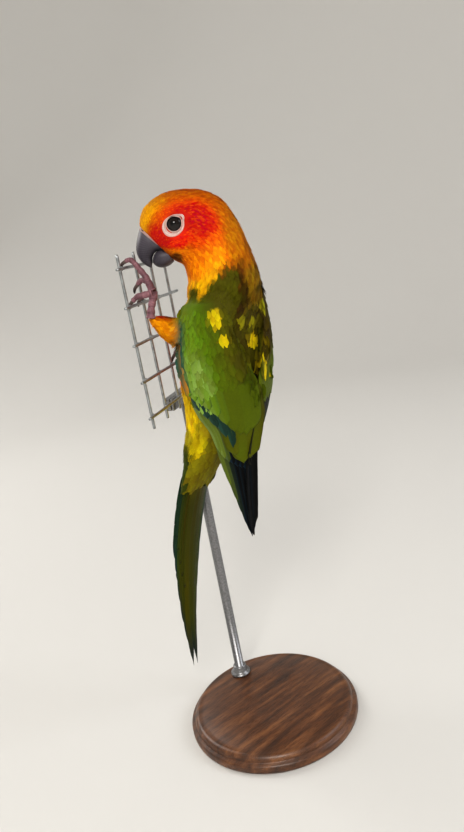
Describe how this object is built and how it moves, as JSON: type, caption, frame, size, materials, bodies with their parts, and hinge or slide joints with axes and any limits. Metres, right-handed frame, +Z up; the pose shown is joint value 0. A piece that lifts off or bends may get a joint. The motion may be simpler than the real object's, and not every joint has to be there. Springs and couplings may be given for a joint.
{
  "type": "sun conure clinging to wire mesh",
  "caption": "Life-size sun conure parrot clinging upright to a short piece of welded wire mesh, back to the viewer, head in profile, tail hanging, on a plain round display stand.",
  "frame": {"origin": "middle of the underside of the stand's base", "axes": "+Z up; the bird's belly and the mesh face -Y, its back +Y, and its own left side +X; the head is turned 55 degrees to its left"},
  "size_m": [0.104, 0.104, 0.317],
  "materials": {
    "head_plumage": "soft feather",
    "neck_plumage": "soft feather",
    "body_plumage": "soft feather",
    "wing_plumage": "soft feather",
    "flight_feathers": "silky feather",
    "tail_feathers": "silky feather",
    "bill": "grey-black horn, satin",
    "claw": "dark horn, satin",
    "eye": "wet gloss",
    "bare_skin": "pale matt skin",
    "foot_skin": "scaly matt skin",
    "mesh_wire": "galvanised",
    "stand_metal": "satin",
    "stand_wood": "dark satin"
  },
  "bodies": {
    "root": {"head": "head_plumage", "neck": "neck_plumage", "trunk": "body_plumage", "tail_coverts": "body_plumage", "thigh_left": "body_plumage", "thigh_right": "body_plumage", "wing_left": "wing_plumage", "wing_right": "wing_plumage", "wing_left_secondaries": "wing_plumage", "wing_right_secondaries": "wing_plumage", "wing_left_primaries": "flight_feathers", "wing_right_primaries": "flight_feathers", "tail": "tail_feathers", "bill_upper": "bill", "bill_lower": "bill", "eye_left": "eye", "eye_right": "eye", "eye_ring_left": "bare_skin", "eye_ring_right": "bare_skin", "foot_left": "foot_skin", "foot_right": "foot_skin", "claw_left_1": "claw", "claw_left_2": "claw", "claw_left_3": "claw", "claw_left_4": "claw", "claw_right_1": "claw", "claw_right_2": "claw", "claw_right_3": "claw", "claw_right_4": "claw", "perch_wire_row_1": "mesh_wire", "perch_wire_row_2": "mesh_wire", "perch_wire_row_3": "mesh_wire", "perch_wire_row_4": "mesh_wire", "perch_wire_row_5": "mesh_wire", "perch_wire_column_1": "mesh_wire", "perch_wire_column_2": "mesh_wire", "perch_wire_column_3": "mesh_wire", "perch_wire_column_4": "mesh_wire", "stand_clamp": "stand_metal", "stand_rod": "stand_metal", "stand_base": "stand_wood"}
  },
  "joints": []
}
